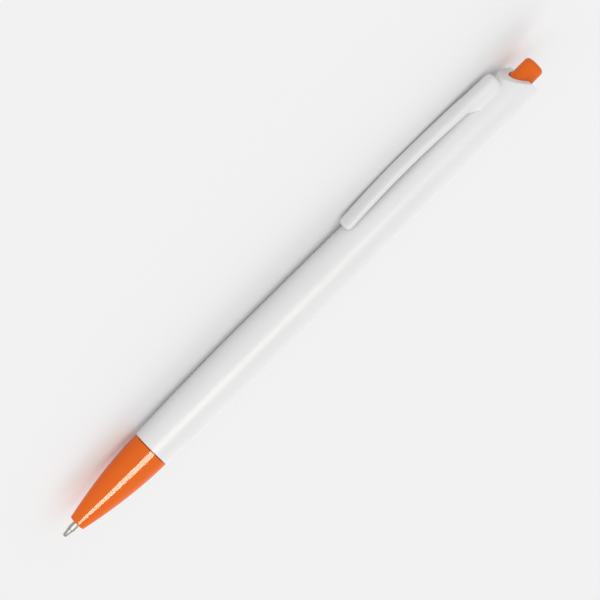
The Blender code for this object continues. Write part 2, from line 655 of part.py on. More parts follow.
def spring_points():
    """Points along the spring's middle line, an even helix that fills the space between seat and flange."""
    count = SPRING_TURNS * SPRING_POINTS_PER_TURN
    middle = SPRING_RADIUS - SPRING_WIRE_RADIUS
    rise = SPRING_LENGTH - 2 * SPRING_WIRE_RADIUS
    points = []
    for i in range(count + 1):
        turn = math.tau * i / SPRING_POINTS_PER_TURN
        x = X_SPRING_FRONT + SPRING_WIRE_RADIUS + rise * i / count
        points.append(Vector((x, middle * math.cos(turn), middle * math.sin(turn))))
    return points


def least_spring_gap(points):
    """Least gap between the wire and itself, measured between points that lie half a turn apart or more."""
    apart = SPRING_POINTS_PER_TURN // 2
    nearest = min(
        (a - b).length for i, a in enumerate(points) for b in points[i + apart :]
    )
    return nearest - 2 * SPRING_WIRE_RADIUS


def make_spring(material):
    points = spring_points()
    print(f"return_spring: least gap to itself {least_spring_gap(points) * 1000:.2f} mm")
    curve = bpy.data.curves.new("return_spring", "CURVE")
    curve.dimensions = "3D"
    curve.bevel_depth = SPRING_WIRE_RADIUS
    curve.bevel_resolution = 1
    curve.use_fill_caps = True
    wire = curve.splines.new("POLY")
    wire.points.add(len(points) - 1)
    for place, point in zip(wire.points, points):
        place.co = (*point, 1)
    curve.materials.append(material)
    spring = bpy.data.objects.new("return_spring", curve)
    spring.parent = PEN
    PARTS.objects.link(spring)
    return spring


clear_scene()
PARTS = new_collection("ballpoint_pen")
CUTTERS = new_collection("ballpoint_pen_cutters", hidden=True)
PEN = lay_down()

barrel = make_barrel(plastic("white_barrel", (0.80, 0.80, 0.80), 0.28))
clip = make_clip(plastic("white_clip", (0.80, 0.80, 0.80), 0.28))
centre_across(barrel, clip)
make_nose(plastic("orange_nose", (0.82, 0.14, 0.015), 0.22))
make_button(plastic("orange_button", (0.82, 0.14, 0.015), 0.25))
make_rotor(plastic("white_acetal", (0.72, 0.72, 0.70), 0.45))
make_point(plastic("nickel_silver", (0.72, 0.70, 0.66), 0.18, metallic=1.0))
make_ball(plastic("carbide_ball", (0.45, 0.45, 0.47), 0.10, metallic=1.0))
make_holder(plastic("clear_holder", (0.75, 0.77, 0.78), 0.35))
make_tube(plastic("clear_tube", (0.78, 0.80, 0.82), 0.30))
ink = plastic("blue_ink", (0.01, 0.02, 0.20), 0.20)
make_filling("ink_column", X_INK_FRONT, X_GREASE_FRONT - FIT_GAP, ink)
make_filling("grease_follower", X_GREASE_FRONT, X_GREASE_BACK, plastic("grease", (0.75, 0.68, 0.45), 0.30))
make_spring(plastic("spring_steel", (0.55, 0.55, 0.57), 0.25, metallic=1.0))
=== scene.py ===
"""Dresses the click ballpoint pen: fine surfaces, plastic, metal and ink finishes, floor, light and camera.

Lengths are metres. The pen lies on the floor, rolled onto its pocket clip, with its writing tip towards +X.
The fine pieces are built in the pen's own frame: its axis is X, the push button is towards +X and the clip
is on top, towards +Z. PEN lays them down. Each follows the outline of the solid that it replaces, with
smooth round surfaces and softened edges.
"""

import math

import bmesh
import bpy
import numpy as np
from mathutils import Matrix, Vector


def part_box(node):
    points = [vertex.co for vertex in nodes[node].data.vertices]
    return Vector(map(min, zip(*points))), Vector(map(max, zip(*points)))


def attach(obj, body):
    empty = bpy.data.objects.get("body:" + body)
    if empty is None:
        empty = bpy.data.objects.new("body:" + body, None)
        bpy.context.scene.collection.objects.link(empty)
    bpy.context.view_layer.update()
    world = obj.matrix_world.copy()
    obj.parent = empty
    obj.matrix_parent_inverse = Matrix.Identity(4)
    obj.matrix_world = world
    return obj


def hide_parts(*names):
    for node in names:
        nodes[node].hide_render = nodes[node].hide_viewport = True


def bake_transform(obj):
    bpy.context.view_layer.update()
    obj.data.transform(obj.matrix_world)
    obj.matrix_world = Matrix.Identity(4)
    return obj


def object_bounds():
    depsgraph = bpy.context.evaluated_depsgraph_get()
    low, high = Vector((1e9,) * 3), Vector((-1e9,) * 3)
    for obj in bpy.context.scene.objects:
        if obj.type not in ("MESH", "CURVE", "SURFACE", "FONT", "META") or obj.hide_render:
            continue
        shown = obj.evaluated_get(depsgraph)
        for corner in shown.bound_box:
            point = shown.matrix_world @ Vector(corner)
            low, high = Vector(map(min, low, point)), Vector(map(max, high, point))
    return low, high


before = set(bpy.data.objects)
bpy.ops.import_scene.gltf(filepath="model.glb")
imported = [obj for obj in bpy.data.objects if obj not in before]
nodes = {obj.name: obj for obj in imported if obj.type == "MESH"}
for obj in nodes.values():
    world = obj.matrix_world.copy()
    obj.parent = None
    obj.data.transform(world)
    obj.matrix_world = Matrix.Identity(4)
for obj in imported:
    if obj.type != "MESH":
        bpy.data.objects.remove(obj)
cad_low, cad_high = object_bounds()


def along_pen(node):
    """Where a node starts and ends along the pen's own axis, which runs towards -X."""
    low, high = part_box(node)
    return -high.x, -low.x


# Places along the pen, read from the frame
X_BARREL_FRONT, X_BARREL_BACK = along_pen("barrel")
X_NOSE_FRONT, X_SPIGOT_BACK = along_pen("nose_cone")
X_CROWN, X_BUTTON_END = along_pen("push_button")
X_CLIP_TIP, X_CLIP_BACK = along_pen("pocket_clip")
X_LIP, X_TAIL_BACK = along_pen("writing_point")
X_BALL_END, X_BALL_BACK = along_pen("writing_ball")
X_SPRING_FRONT, X_SPRING_BACK = along_pen("return_spring")
X_BALL = (X_BALL_END + X_BALL_BACK) / 2

# How the pen lies
REST_ROLL = math.radians(116.25)
NOSE_LOW, NOSE_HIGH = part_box("nose_cone")
AXIS_Y = (NOSE_LOW.y + NOSE_HIGH.y) / 2
AXIS_Z = (NOSE_LOW.z + NOSE_HIGH.z) / 2
AXIS = Vector((0, AXIS_Y, AXIS_Z))
PEN = Matrix.Translation(AXIS) @ Matrix.Rotation(math.pi, 4, "Z") @ Matrix.Rotation(-REST_ROLL, 4, "X")

# Barrel
BARREL_WIDEST_RADIUS = 0.00524
BARREL_FRONT_RADIUS = 0.00464
BARREL_BACK_RADIUS = 0.00458
BARREL_WIDEST_FROM_FRONT = 0.0276
BARREL_FRONT_FULLNESS = 1.6
BARREL_EDGE_ROUND = 0.00018
THREAD_BORE_RADIUS = 0.00375
THREAD_BORE_DEPTH = 0.0078
MAIN_BORE_RADIUS = 0.00365
CAM_BORE_RADIUS = 0.00285
CAM_LENGTH = 0.0182
END_WALL = 0.0051
END_CUT_RISE = 0.00045
END_CUT_ANGLE = math.radians(41.7)
RIM_ROUND = 0.00016
KEYWAY_COUNT = 4
KEYWAY_WIDTH = 0.0017
KEYWAY_RADIUS = 0.0035
KEYWAY_SHORT_OF_WALL = 0.0004
X_BARREL_WIDEST = X_BARREL_FRONT + BARREL_WIDEST_FROM_FRONT

# Nose cone
SEAM_GAP = 0.0002
NOSE_FRONT_RADIUS = 0.00185
NOSE_BACK_RADIUS = 0.00453
NOSE_FULLNESS = 1.8
NOSE_EDGE_ROUND = 0.00035
NOSE_EDGE_START_DEG = 103
NOSE_SEAM_ROUND = 0.00008
SPIGOT_RADIUS = 0.0036
SPRING_CHAMBER_RADIUS = 0.00225
SPRING_SEAT_DEPTH = 0.0063
NOSE_THROAT_RADIUS = 0.0015
POINT_BORE_RADIUS = 0.00095
POINT_BORE_LENGTH = 0.00175
X_NOSE_BACK = X_BARREL_FRONT - SEAM_GAP

# Push button
BUTTON_RADIUS = 0.0024
BUTTON_EDGE_ROUND = 0.0010
HOLE_RADIUS = 0.0027
PLUNGER_RADIUS = 0.0027
PLUNGER_BORE_RADIUS = 0.00175
PLUNGER_BORE_DEPTH = 0.0055
SHOULDER_SHORT_OF_WALL = 0.0062
X_PLUNGER_SHOULDER = X_BARREL_BACK - END_WALL - SHOULDER_SHORT_OF_WALL

# Metal point
POINT_RADIUS = 0.0008
POINT_STEP = 0.00007
POINT_GROOVE_DEPTH = 2 * POINT_STEP
POINT_CONE_DROP = 1.4 * POINT_STEP
POINT_CONE_LENGTH = 0.00205
POINT_SHANK_LENGTH = 0.0072
POINT_SHOULDER_RADIUS = 0.00115
POINT_SHOULDER_LENGTH = 0.0014
POINT_TAIL_RADIUS = 0.0007
POINT_LIP_WALL = 0.00008
LIP_WALL_AT_BEND = POINT_LIP_WALL * 0.8
LIP_WALL_AT_EDGE = POINT_LIP_WALL / 3
BALL_RADIUS = 0.00035
BALL_CLEARANCE = 0.000035
INK_CHANNEL_RADIUS = 0.0002

# Return spring
SPRING_RADIUS = 0.0020
SPRING_WIRE_RADIUS = 0.0002
SPRING_TURNS = 13

# Pocket clip
CLIP_HALF_WIDTH = 0.0020
CLIP_TIP_THICKNESS = 0.00145
CLIP_TIP_RADIUS = 0.0011
CLIP_BACK_ROUND = 0.0010
CLIP_CORNER_ROUND = 0.0020
CLIP_HIGHEST = 0.00265
CLIP_HIGHEST_FROM_TIP = 0.0190
CLIP_BACK_HEIGHT = 0.00200
CLIP_ARCH_GAP = 0.00070
CLIP_ROOT_LENGTH = 0.0100
CLIP_SEAT_GAP = 0.00015
CLIP_ROOT_BITE = 0.00003
CLIP_SQUARENESS = 3.2
CLIP_END_FULLNESS = 2.4
CLIP_SINK = 0.0016
CLIP_SINK_RUN = 0.0032
CLIP_FILLET_REACH = 0.0016
CLIP_FILLET_HEIGHT = 0.0015
X_CLIP_ROOT = X_CLIP_BACK - CLIP_ROOT_LENGTH

# Smoothness
ROUND_SIDES = 192
SMALL_SIDES = 96
BARREL_STATIONS = 64
NOSE_STATIONS = 60
CLIP_STATIONS = 110
CLIP_SIDES = 72
CLIP_END_STEPS = 10
CLIP_END_OPENING = 0.12
RIM_SEGMENTS = 3
BALL_SEGMENTS = 64
BALL_RINGS = 48
COIL_STEPS = 32
WIRE_SIDES = 12
SHARP_ANGLE = math.radians(32)

# Room and tolerances of the cuts
CUT_OVER = 0.002
SAME_PLACE = 2e-6
ON_CUT = 1e-6

# Camera
VIEW_ELEVATION = math.radians(23.75)
PICTURE_TURN = math.radians(135.0)
CAMERA_DISTANCE = 0.70
SENSOR_WIDTH = 36.0
PIXELS_PER_METRE = 4700.0
IMAGE_SIZE = 600

# Light
STRIP_DISTANCE = 0.70
STRIP_COLOUR = (0.97, 1.0, 0.84)

# Finishes: most of a noise lies between NOISE_LOW and NOISE_HIGH, and relief is in metres
WHITE = (0.85, 0.85, 0.85)
ORANGE = (0.85, 0.144, 0.005)
NOISE_LOW = 0.3
NOISE_HIGH = 0.7
RIPPLE_TO_SKIN = 12
FINE_RELIEF = 0.000001
LATHE_RELIEF = 0.0000015
LATHE_SCALE = 2500.0
LATHE_DISTORTION = 0.4


def add_object(name, shape, material=None):
    """An object in the scene, made of a finished bmesh."""
    mesh = bpy.data.meshes.new(name)
    shape.to_mesh(mesh)
    shape.free()
    if material:
        mesh.materials.append(material)
    added = bpy.data.objects.new(name, mesh)
    bpy.context.scene.collection.objects.link(added)
    return added


def skin(shape, rings):
    """Faces from ring to ring of equally many corners, and one over each end."""
    for ring, following in zip(rings, rings[1:]):
        for i in range(len(ring)):
            j = (i + 1) % len(ring)
            shape.faces.new((ring[i], ring[j], following[j], following[i]))
    shape.faces.new(rings[0])
    shape.faces.new(rings[-1])
    bmesh.ops.recalc_face_normals(shape, faces=shape.faces)


def arc(x, radius, size, start, end, steps=8):
    """Outline points of an arc about (x, radius), from one angle to another in degrees, 0 towards +X."""
    angles = np.radians(np.linspace(start, end, steps + 1))
    return [(x + size * math.cos(a), radius + size * math.sin(a)) for a in angles]


def lathe(name, outline, material, sides=ROUND_SIDES, closed=True):
    """A turned body about the pen's axis from (x, radius) points; a point at radius 0 becomes a pole."""
    shape = bmesh.new()
    rings = []
    turns = np.linspace(0, math.tau, sides, endpoint=False)
    for x, radius in outline:
        if radius <= 0:
            rings.append([shape.verts.new((x, 0, 0))])
            continue
        rings.append([shape.verts.new((x, radius * math.sin(a), radius * math.cos(a))) for a in turns])
    pairs = list(zip(rings, rings[1:])) + ([(rings[-1], rings[0])] if closed else [])
    for first, second in pairs:
        for i in range(sides):
            j = (i + 1) % sides
            corners = [first[i % len(first)], first[j % len(first)]]
            corners += [second[j % len(second)], second[i % len(second)]]
            shape.faces.new(list(dict.fromkeys(corners)))
    bmesh.ops.recalc_face_normals(shape, faces=shape.faces)
    return add_object(name, shape, material)


def prism(name, outline, low, high, angle):
    """A cutter: a flat outline of (u, x) points, drawn out along the radius at an angle from +Z."""
    shape = bmesh.new()
    face = shape.faces.new([shape.verts.new((u, x, low)) for u, x in outline])
    pushed = bmesh.ops.extrude_face_region(shape, geom=[face])["geom"]
    moved = [item for item in pushed if isinstance(item, bmesh.types.BMVert)]
    bmesh.ops.translate(shape, verts=moved, vec=(0, 0, high - low))
    bmesh.ops.recalc_face_normals(shape, faces=shape.faces)
    cutter = add_object(name, shape)
    along = Vector((1, 0, 0))
    outward = Matrix.Rotation(angle, 3, along) @ Vector((0, 0, 1))
    axes = Matrix((along.cross(outward), along, outward)).transposed()
    cutter.matrix_world = axes.to_4x4()
    return cutter


def carve(piece, cutters):
    """Takes the cutters away from the piece's mesh and removes them."""
    for cutter in cutters:
        boolean = piece.modifiers.new(cutter.name, "BOOLEAN")
        boolean.operation = "DIFFERENCE"
        boolean.solver = "EXACT"
        boolean.object = cutter
    bpy.context.view_layer.update()
    graph = bpy.context.evaluated_depsgraph_get()
    mesh = bpy.data.meshes.new_from_object(piece.evaluated_get(graph))
    piece.modifiers.clear()
    piece.data = mesh
    for cutter in cutters:
        bpy.data.objects.remove(cutter, do_unlink=True)


def lay_down(piece):
    """From the pen's own frame to the floor, and shaded smooth except at its edges."""
    piece.data.transform(PEN)
    piece.data.shade_smooth()
    piece.data.set_sharp_from_angle(angle=SHARP_ANGLE)


def settle(piece, body, slot, *replaced):
    """The piece is laid down, gets its body and hides the solids it stands for. The slot argument is not
    used.
    """
    lay_down(piece)
    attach(piece, body)
    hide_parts(*replaced)


def barrel_radius(x):
    if x < X_BARREL_WIDEST:
        share = (X_BARREL_WIDEST - x) / BARREL_WIDEST_FROM_FRONT
        swell = BARREL_WIDEST_RADIUS - BARREL_FRONT_RADIUS
        return BARREL_WIDEST_RADIUS - swell * share**BARREL_FRONT_FULLNESS
    share = (x - X_BARREL_WIDEST) / (X_BARREL_BACK - X_BARREL_WIDEST)
    return BARREL_WIDEST_RADIUS - (BARREL_WIDEST_RADIUS - BARREL_BACK_RADIUS) * share


def make_barrel(material):
    """Swelling tube with the slanted end, the button's hole and the keyways of the click mechanism."""
    edge = BARREL_EDGE_ROUND
    x_bore_end = X_BARREL_BACK - END_WALL
    x_ribs = x_bore_end - CAM_LENGTH
    x_thread_end = X_BARREL_FRONT + THREAD_BORE_DEPTH
    outline = arc(X_BARREL_BACK - edge, barrel_radius(X_BARREL_BACK) - edge, edge, 0, 90)
    stations = np.linspace(X_BARREL_BACK, X_BARREL_FRONT, BARREL_STATIONS)[1:-1]
    outline += [(x, barrel_radius(x)) for x in stations]
    outline += arc(X_BARREL_FRONT + edge, barrel_radius(X_BARREL_FRONT) - edge, edge, 90, 180)
    outline += [(X_BARREL_FRONT, THREAD_BORE_RADIUS), (x_thread_end, THREAD_BORE_RADIUS)]
    outline += [(x_thread_end, MAIN_BORE_RADIUS), (x_ribs, MAIN_BORE_RADIUS)]
    outline += [(x_ribs, CAM_BORE_RADIUS), (x_bore_end, CAM_BORE_RADIUS)]
    outline += [(x_bore_end, HOLE_RADIUS), (X_BARREL_BACK, HOLE_RADIUS)]
    barrel = lathe("fine_barrel", outline, material)

    half = KEYWAY_WIDTH / 2
    x_end = x_bore_end - KEYWAY_SHORT_OF_WALL
    keyway = [(-half, x_ribs - CUT_OVER), (half, x_ribs - CUT_OVER), (half, x_end), (-half, x_end)]
    cutters = []
    for i in range(KEYWAY_COUNT):
        angle = math.tau * (i + 0.5) / KEYWAY_COUNT
        cutters.append(prism(f"keyway_{i}", keyway, 0, KEYWAY_RADIUS, angle))
    cutters.append(slanted_end_cutter())
    carve(barrel, cutters)
    round_the_rim(barrel)
    settle(barrel, "barrel", "white_plastic", "barrel")


def slanted_end_cutter():
    """A cube, larger than the pen is thick, whose near face is the slanted cut."""
    size = 4 * BARREL_WIDEST_RADIUS
    shape = bmesh.new()
    bmesh.ops.create_cube(shape, size=size)
    bmesh.ops.translate(shape, verts=shape.verts, vec=(size / 2, 0, 0))
    cutter = add_object("slanted_end", shape)
    cutter.location = (X_BARREL_BACK, 0, END_CUT_RISE)
    cutter.rotation_euler = (0, -END_CUT_ANGLE, 0)
    return cutter


def round_the_rim(barrel):
    """Softens the edges that the slanted cut left on the outside and round the hole."""
    normal = Vector((math.cos(END_CUT_ANGLE), 0, math.sin(END_CUT_ANGLE)))
    through = Vector((X_BARREL_BACK, 0, END_CUT_RISE))
    shape = bmesh.new()
    shape.from_mesh(barrel.data)
    bmesh.ops.remove_doubles(shape, verts=shape.verts, dist=SAME_PLACE)
    on_plane = {v for v in shape.verts if abs((v.co - through).dot(normal)) < ON_CUT}
    rim = []
    for edge in shape.edges:
        if len(edge.link_faces) != 2 or not on_plane.issuperset(edge.verts):
            continue
        if edge.calc_face_angle() > SHARP_ANGLE:
            rim.append(edge)
    bmesh.ops.bevel(
        shape, geom=rim, affect="EDGES", offset=RIM_ROUND, segments=RIM_SEGMENTS, profile=0.5,
        clamp_overlap=True,
    )
    shape.to_mesh(barrel.data)
    shape.free()


def nose_radius(x):
    share = (X_NOSE_BACK - x) / (X_NOSE_BACK - X_NOSE_FRONT)
    return NOSE_BACK_RADIUS - (NOSE_BACK_RADIUS - NOSE_FRONT_RADIUS) * share**NOSE_FULLNESS


def make_nose(material):
    """Ogive with a softened front edge, the spigot behind it and the spring's chamber inside."""
    edge, seam = NOSE_EDGE_ROUND, NOSE_SEAM_ROUND
    outline = [(X_SPIGOT_BACK, SPIGOT_RADIUS - edge), (X_SPIGOT_BACK - edge, SPIGOT_RADIUS)]
    outline += [(X_NOSE_BACK, SPIGOT_RADIUS)]
    outline += arc(X_NOSE_BACK - seam, NOSE_BACK_RADIUS - seam, seam, 0, 90, steps=4)
    stations = np.linspace(X_NOSE_BACK - seam, X_NOSE_FRONT + edge, NOSE_STATIONS)[1:-1]
    outline += [(x, nose_radius(x)) for x in stations]
    edge_centre = nose_radius(X_NOSE_FRONT + edge) - edge
    outline += arc(X_NOSE_FRONT + edge, edge_centre, edge, NOSE_EDGE_START_DEG, 180)
    x_bore_back = X_NOSE_FRONT + POINT_BORE_LENGTH
    x_throat = x_bore_back + NOSE_THROAT_RADIUS - POINT_BORE_RADIUS
    x_seat = X_NOSE_FRONT + SPRING_SEAT_DEPTH
    outline += [(X_NOSE_FRONT, POINT_BORE_RADIUS), (x_bore_back, POINT_BORE_RADIUS)]
    outline += [(x_throat, NOSE_THROAT_RADIUS), (x_seat, NOSE_THROAT_RADIUS)]
    outline += [(x_seat, SPRING_CHAMBER_RADIUS), (X_SPIGOT_BACK, SPRING_CHAMBER_RADIUS)]
    settle(lathe("fine_nose_cone", outline, material), "nose", "orange_plastic", "nose_cone")


def make_button(material):
    """The round end that is pressed, and the plunger behind it down to its crown."""
    edge = BUTTON_EDGE_ROUND
    outline = [(X_BUTTON_END, 0)]
    outline += arc(X_BUTTON_END - edge, BUTTON_RADIUS - edge, edge, 0, 90, steps=12)
    outline += [(X_PLUNGER_SHOULDER, BUTTON_RADIUS), (X_PLUNGER_SHOULDER, PLUNGER_RADIUS)]
    outline += [(X_CROWN, PLUNGER_RADIUS), (X_CROWN, PLUNGER_BORE_RADIUS)]
    x_floor = X_CROWN + PLUNGER_BORE_DEPTH
    outline += [(x_floor, PLUNGER_BORE_RADIUS), (x_floor, 0)]
    button = lathe("fine_push_button", outline, material, sides=SMALL_SIDES, closed=False)
    settle(button, "button", "orange_plastic", "push_button")


def make_point(material):
    """Turned metal point: the lip that holds the ball, the cone, the step, the shank and the tail."""
    socket = BALL_RADIUS + BALL_CLEARANCE
    lip_angle = math.degrees(math.acos((X_LIP - X_BALL) / socket))
    channel_angle = math.degrees(math.asin(INK_CHANNEL_RADIUS / socket))
    inside = arc(X_BALL, 0, socket, lip_angle, channel_angle, steps=16)
    x_cone = X_BALL_END + POINT_CONE_LENGTH
    x_shoulder = X_BALL_END + POINT_SHANK_LENGTH
    x_tail = x_shoulder + POINT_SHOULDER_LENGTH
    fine = POINT_STEP
    outline = [(X_TAIL_BACK, POINT_TAIL_RADIUS), (x_tail, POINT_TAIL_RADIUS)]
    outline += [(x_tail, POINT_SHOULDER_RADIUS), (x_shoulder, POINT_SHOULDER_RADIUS)]
    outline += [(x_shoulder - fine, POINT_RADIUS), (x_cone + fine, POINT_RADIUS)]
    outline += arc(x_cone + fine, POINT_RADIUS - fine, fine, 90, 180, steps=4)
    outline += [(x_cone, POINT_RADIUS - POINT_GROOVE_DEPTH)]
    outline += [(x_cone - fine, POINT_RADIUS - POINT_CONE_DROP)]
    lip_radius = inside[0][1]
    outline += [(X_BALL, socket + POINT_LIP_WALL), (X_LIP + fine / 2, lip_radius + LIP_WALL_AT_BEND)]
    outline += [(X_LIP, lip_radius + LIP_WALL_AT_EDGE)]
    outline += inside + [(X_TAIL_BACK, INK_CHANNEL_RADIUS)]
    point = lathe("fine_writing_point", outline, material, sides=SMALL_SIDES)
    settle(point, "refill", "nickel_silver", "writing_point")


def make_ball(material):
    shape = bmesh.new()
    bmesh.ops.create_uvsphere(shape, u_segments=BALL_SEGMENTS, v_segments=BALL_RINGS, radius=BALL_RADIUS)
    turn = Matrix.Rotation(math.pi / 2, 4, "X")
    bmesh.ops.transform(shape, verts=shape.verts, matrix=Matrix.Translation((X_BALL, 0, 0)) @ turn)
    settle(add_object("fine_writing_ball", shape, material), "ball", "ball_carbide", "writing_ball")


def wire_ring(shape, place, outward, forward):
    """A ring of the wire's section, square to its run."""
    aside = outward.cross(forward)
    turns = np.linspace(0, math.tau, WIRE_SIDES, endpoint=False)
    reach = [outward * math.cos(a) + aside * math.sin(a) for a in turns]
    return [shape.verts.new(place + SPRING_WIRE_RADIUS * direction) for direction in reach]


def make_spring(material):
    """Compression spring of even coils, built at one length; in the pen it opens out and closes up as the
    refill slides.
    """
    middle = SPRING_RADIUS - SPRING_WIRE_RADIUS
    rise = X_SPRING_BACK - X_SPRING_FRONT - 2 * SPRING_WIRE_RADIUS
    slope = rise / (math.tau * middle * SPRING_TURNS)
    shape = bmesh.new()
    rings = []
    for share in np.linspace(0, 1, SPRING_TURNS * COIL_STEPS + 1):
        turn = math.tau * SPRING_TURNS * share
        outward = Vector((0, math.cos(turn), math.sin(turn)))
        forward = Vector((slope, -math.sin(turn), math.cos(turn))).normalized()
        along = Vector((X_SPRING_FRONT + SPRING_WIRE_RADIUS + rise * share, 0, 0))
        rings.append(wire_ring(shape, along + middle * outward, outward, forward))
    skin(shape, rings)
    spring = add_object("fine_return_spring", shape, material)
    lay_down(spring)
    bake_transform(spring)
    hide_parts("return_spring")


def eased(share):
    """0 to 1 with a soft start and a soft end."""
    share = min(max(share, 0), 1)
    return share * share * (3 - 2 * share)


def closing(distance, size):
    """How far a rounded end has opened, from 0 at the end to 1 at its size."""
    share = min(max(1 - distance / size, 0), 1)
    return (1 - share**CLIP_END_FULLNESS) ** (1 / CLIP_END_FULLNESS)


def clip_section(x):
    """Half width, underside, top and fillet reach of the clip at x; heights are from the pen's axis."""
    x_high = X_CLIP_TIP + CLIP_HIGHEST_FROM_TIP
    surface = barrel_radius(x)
    tip_top = CLIP_SEAT_GAP + CLIP_TIP_THICKNESS
    if x < x_high:
        swell = math.sin(math.pi / 2 * (x - X_CLIP_TIP) / CLIP_HIGHEST_FROM_TIP)
        top = surface + tip_top + (CLIP_HIGHEST - tip_top) * swell
    else:
        fall = (x - x_high) / (X_CLIP_BACK - x_high)
        top = surface + CLIP_HIGHEST - (CLIP_HIGHEST - CLIP_BACK_HEIGHT) * fall**2
    arch_start = X_CLIP_TIP + CLIP_TIP_RADIUS
    share = min(max((x - arch_start) / (X_CLIP_ROOT - arch_start), 0), 1)
    rooted = eased((x - X_CLIP_ROOT) / CLIP_SINK_RUN)
    low = surface + CLIP_SEAT_GAP + CLIP_ARCH_GAP * math.sin(math.pi * share)
    low -= (CLIP_SEAT_GAP + CLIP_SINK) * rooted
    tip = closing(x - X_CLIP_TIP, CLIP_TIP_RADIUS)
    back = closing(X_CLIP_BACK - x, CLIP_BACK_ROUND)
    middle = (low + top) / 2
    low = middle + (low - middle) * tip
    top = middle + (top - middle) * tip - (1 - back) * CLIP_BACK_ROUND
    corner = closing(X_CLIP_BACK - x, CLIP_CORNER_ROUND)
    return CLIP_HALF_WIDTH * tip * (1 + corner) / 2, low, top, CLIP_FILLET_REACH * rooted * corner


def clip_ring(x, turns):
    """One soft squarish section of the clip, its underside laid on the barrel where it would pass below."""
    half_width, low, top, fillet = clip_section(x)
    rooted = eased((x - X_CLIP_ROOT) / CLIP_SINK_RUN)
    seat = barrel_radius(x) + CLIP_SEAT_GAP * (1 - rooted) - CLIP_ROOT_BITE * rooted
    fillet_top = barrel_radius(x) + CLIP_FILLET_HEIGHT
    ring = []
    for a in turns:
        across = math.copysign(abs(math.cos(a)) ** (2 / CLIP_SQUARENESS), math.cos(a))
        up = math.copysign(abs(math.sin(a)) ** (2 / CLIP_SQUARENESS), math.sin(a))
        height = (low + top) / 2 + (top - low) / 2 * up
        depth = max(fillet_top - height, 0) / (CLIP_FILLET_HEIGHT + CLIP_SINK)
        y = (half_width + fillet * depth**2) * across
        ring.append((x, y, max(height, math.sqrt(seat**2 - y**2))))
    return ring


def make_clip(material):
    """Arched clip that bends from its root, which is moulded onto the barrel with a soft fillet."""
    opening = np.linspace(CLIP_END_OPENING, math.pi / 2, CLIP_END_STEPS)
    shutting = np.linspace(math.pi / 2, CLIP_END_OPENING, CLIP_END_STEPS)
    tip = X_CLIP_TIP + CLIP_TIP_RADIUS * (1 - np.cos(opening))
    back = X_CLIP_BACK - CLIP_BACK_ROUND * (1 - np.cos(shutting))
    arch = np.linspace(X_CLIP_TIP + CLIP_TIP_RADIUS, X_CLIP_BACK - CLIP_BACK_ROUND, CLIP_STATIONS)[1:-1]
    turns = np.linspace(0, math.tau, CLIP_SIDES, endpoint=False)
    shape = bmesh.new()
    rings = [[shape.verts.new(place) for place in clip_ring(x, turns)] for x in (*tip, *arch, *back)]
    skin(shape, rings)
    clip = add_object("fine_pocket_clip", shape, material)
    clip.data.transform(PEN)
    clip.data.shade_smooth()
    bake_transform(clip)
    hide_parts("pocket_clip")


class Finish:
    """A material under construction: a Principled shader and short calls that add nodes to it."""

    def __init__(self, name, colour, roughness, metallic=0.0):
        self.material = bpy.data.materials.new(name)
        self.material.use_nodes = True
        self.tree = self.material.node_tree
        self.shader = self.tree.nodes["Principled BSDF"]
        self.shader.inputs["Base Color"].default_value = (*colour, 1)
        self.shader.inputs["Roughness"].default_value = roughness
        self.shader.inputs["Metallic"].default_value = metallic
        self.colour = colour
        self.roughness = roughness
        self.place = self.tree.nodes.new("ShaderNodeTexCoord").outputs["Object"]

    def node(self, kind, **values):
        node = self.tree.nodes.new(kind)
        for name, value in values.items():
            setattr(node, name, value)
        return node

    def link(self, source, target):
        self.tree.links.new(source, target)

    def stretched(self, scale):
        """Object coordinates in metres, scaled along each axis."""
        mapping = self.node("ShaderNodeMapping")
        mapping.inputs["Scale"].default_value = scale
        self.link(self.place, mapping.inputs["Vector"])
        return mapping.outputs["Vector"]

    def noise(self, scale, detail=3.0):
        """Noise with this many waves in a metre along X, Y and Z."""
        noise = self.node("ShaderNodeTexNoise")
        noise.inputs["Scale"].default_value = 1.0
        noise.inputs["Detail"].default_value = detail
        self.link(self.stretched(scale), noise.inputs["Vector"])
        return noise.outputs["Fac"]

    def ramp(self, source, low, high):
        """Spreads a noise value over the range from low to high."""
        spread = self.node("ShaderNodeMapRange")
        spread.inputs["From Min"].default_value = NOISE_LOW
        spread.inputs["From Max"].default_value = NOISE_HIGH
        spread.inputs["To Min"].default_value = low
        spread.inputs["To Max"].default_value = high
        self.link(source, spread.inputs["Value"])
        return spread.outputs["Result"]

    def vary_colour(self, source, darker):
        """The colour drifts between its own value and a share of it."""
        mix = self.node("ShaderNodeMix", data_type="RGBA")
        mix.inputs["A"].default_value = (*self.colour, 1)
        mix.inputs["B"].default_value = (*(c * darker for c in self.colour), 1)
        self.link(self.ramp(source, 0.0, 1.0), mix.inputs["Factor"])
        self.link(mix.outputs["Result"], self.shader.inputs["Base Color"])

    def vary_roughness(self, source, low, high):
        """The roughness drifts between two shares of its own value."""
        spread = self.ramp(source, self.roughness * low, self.roughness * high)
        self.link(spread, self.shader.inputs["Roughness"])

    def bump(self, source, height, before=None):
        """Surface relief of the given height in metres."""
        bump = self.node("ShaderNodeBump")
        bump.inputs["Strength"].default_value = 1.0
        bump.inputs["Distance"].default_value = height
        self.link(source, bump.inputs["Height"])
        if before:
            self.link(before, bump.inputs["Normal"])
        self.link(bump.outputs["Normal"], self.shader.inputs["Normal"])
        return bump.outputs["Normal"]


